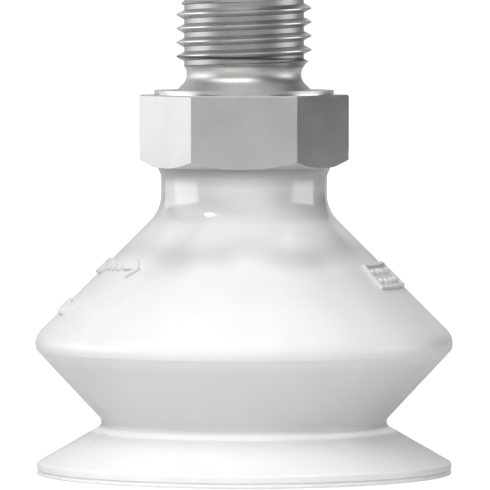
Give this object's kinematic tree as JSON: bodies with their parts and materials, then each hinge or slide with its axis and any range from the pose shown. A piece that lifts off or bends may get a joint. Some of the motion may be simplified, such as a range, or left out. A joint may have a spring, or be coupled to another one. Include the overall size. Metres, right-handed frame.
{
  "type": "vacuum suction cup",
  "caption": "Bellows vacuum suction cup in white silicone with one and a half folds, on a turned metal holder with a hexagon and a male stud with a through bore.",
  "frame": {"origin": "centre of the sealing rim's bottom plane, which touches the workpiece", "axes": "+Z along the stud's axis, from the rim towards the stud; a flat of the hexagon faces -Y and its corners lie on +X and -X"},
  "size_m": [0.0402, 0.0402, 0.0456],
  "materials": {
    "holder_metal": "turned and milled, plated, polished in the undercut, satin on the hexagon's flats",
    "silicone": "moulded white silicone, semi-gloss, slightly translucent"
  },
  "bodies": {
    "holder": {"threaded_holder": "holder_metal", "cup_neck": "silicone", "upper_bellows_wall": "silicone"},
    "fold": {"outer_fold_ring": "silicone", "lower_bellows_wall": "silicone"},
    "waist": {"waist_ring": "silicone", "inner_skirt": "silicone"},
    "skirt": {"skirt_bead": "silicone", "outer_skirt": "silicone"},
    "rim": {"sealing_rim": "silicone"}
  },
  "joints": [
    {"name": "bellows_stroke", "type": "slide", "parent": "holder", "child": "fold", "axis": [0, 0, 1], "range_m": [0, 0.006], "stiffness_N_per_m": 1100, "deforming": ["upper_bellows_wall"]},
    {"name": "lower_fold_stroke", "type": "slide", "parent": "fold", "child": "waist", "axis": [0, 0, 1], "range_m": [0, 0.003], "deforming": ["lower_bellows_wall"]},
    {"name": "lip_tilt_x", "type": "hinge", "parent": "waist", "child": "skirt", "pos_m": [0, 0, 0.00487], "axis": [1, 0, 0], "range_deg": [-6, 6], "stiffness_Nm_per_rad": 0.25, "deforming": ["inner_skirt"]},
    {"name": "lip_tilt_y", "type": "hinge", "parent": "skirt", "child": "rim", "pos_m": [0, 0, 0.00487], "axis": [0, 1, 0], "range_deg": [-6, 6], "stiffness_Nm_per_rad": 0.25, "deforming": ["outer_skirt"]}
  ],
  "couplings": [
    {"joint": "lower_fold_stroke", "follows": "bellows_stroke", "ratio": 0.5}
  ]
}
